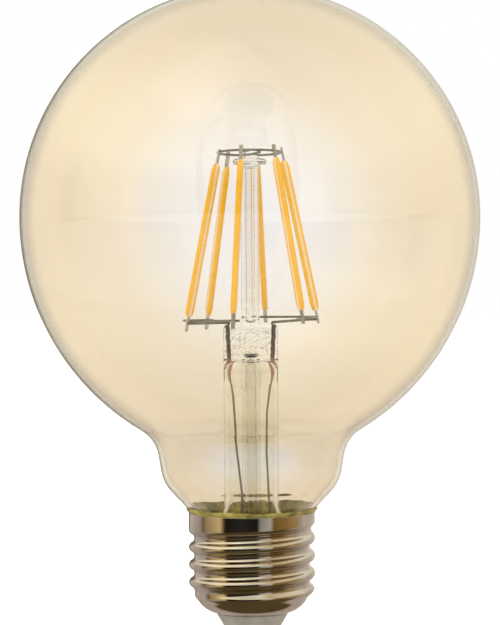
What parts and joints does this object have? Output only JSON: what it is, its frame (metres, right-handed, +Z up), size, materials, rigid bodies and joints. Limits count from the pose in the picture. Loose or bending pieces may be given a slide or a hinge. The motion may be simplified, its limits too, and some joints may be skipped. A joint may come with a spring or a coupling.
{
  "type": "globe bulb",
  "caption": "Screw-in globe bulb: tinted clear glass globe over upright light-emitting filaments on a glass stem, with a threaded metal cap and a bottom contact.",
  "frame": {"origin": "middle of the bottom contact's flat face, at the lamp's lowest point", "axes": "+Z up the lamp's axis from the cap to the globe, +X to the right and +Y away from the viewer in the picture"},
  "size_m": [0.095, 0.095, 0.1345],
  "materials": {
    "amber_glass": "blown glass with a light gold tint, clear and glossy",
    "stem_glass": "clear drawn glass tube, fire polished",
    "nickel_plated_brass": "nickel plated brass sheet, rolled thread, bright",
    "cap_plastic": "greyish white moulded plastic",
    "contact_metal": "pressed plated plate and pin",
    "basing_cement": "baked olive yellow basing cement, slightly rough",
    "nickel_wire": "drawn grey nickel wire",
    "copper_clad_wire": "copper clad seal wire, red oxide under glass",
    "tinned_wire": "tinned copper wire",
    "clear_strip": "clear strip that carries the light-emitting chips",
    "phosphor_silicone": "yellow orange phosphor in clear silicone, satin",
    "tab_steel": "pressed metal tab",
    "circuit_board": "green coated laminate",
    "capacitor_sleeve": "black shrunk sleeve",
    "ferrite": "dark ferrite",
    "resistor_body": "lacquered ceramic body",
    "moulded_epoxy": "black moulded epoxy"
  },
  "bodies": {
    "root": {"glass_envelope": "amber_glass", "basing_cement": "basing_cement", "screw_shell": "nickel_plated_brass", "cap_insulator": "cap_plastic", "contact_eyelet": "contact_metal", "contact_pin": "contact_metal", "stem_flare": "stem_glass", "exhaust_tube": "stem_glass", "centre_post": "stem_glass", "ring_anchor": "nickel_wire", "top_ring": "nickel_wire", "support_arc_left": "nickel_wire", "support_arc_right": "nickel_wire", "inner_lead_left": "nickel_wire", "inner_lead_right": "nickel_wire", "seal_wire_left": "copper_clad_wire", "seal_wire_right": "copper_clad_wire", "outer_lead_left": "tinned_wire", "outer_lead_right": "tinned_wire", "live_wire": "tinned_wire", "neutral_wire": "tinned_wire", "driver_board": "circuit_board", "smoothing_capacitor": "capacitor_sleeve", "inductor": "ferrite", "fuse_resistor": "resistor_body", "bridge_rectifier": "moulded_epoxy", "driver_chip": "moulded_epoxy", "filament_1_substrate": "clear_strip", "filament_1_phosphor": "phosphor_silicone", "filament_1_tabs": "tab_steel", "filament_2_substrate": "clear_strip", "filament_2_phosphor": "phosphor_silicone", "filament_2_tabs": "tab_steel", "filament_3_substrate": "clear_strip", "filament_3_phosphor": "phosphor_silicone", "filament_3_tabs": "tab_steel", "filament_4_substrate": "clear_strip", "filament_4_phosphor": "phosphor_silicone", "filament_4_tabs": "tab_steel", "filament_5_substrate": "clear_strip", "filament_5_phosphor": "phosphor_silicone", "filament_5_tabs": "tab_steel", "filament_6_substrate": "clear_strip", "filament_6_phosphor": "phosphor_silicone", "filament_6_tabs": "tab_steel"}
  },
  "joints": []
}
